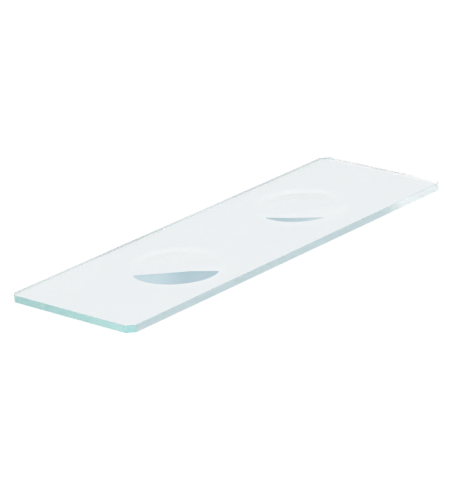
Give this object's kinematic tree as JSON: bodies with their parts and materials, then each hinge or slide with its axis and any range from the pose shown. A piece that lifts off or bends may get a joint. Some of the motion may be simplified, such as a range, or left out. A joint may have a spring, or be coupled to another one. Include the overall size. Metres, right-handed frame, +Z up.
{
  "type": "cavity microscope slide",
  "caption": "Flat clear glass microscope slide with clipped corners, ground edges and shallow round polished wells sunk into its top face.",
  "frame": {"origin": "centre of the underside, the flat face that the slide rests on", "axes": "+X along the slide's length, +Y across its width, +Z up out of the face with the wells; the wider margin of plain glass is at the -X end"},
  "size_m": [0.0762, 0.0254, 0.0012],
  "materials": {
    "glass": "polished"
  },
  "bodies": {
    "root": {"glass_slide": "glass"}
  },
  "joints": []
}
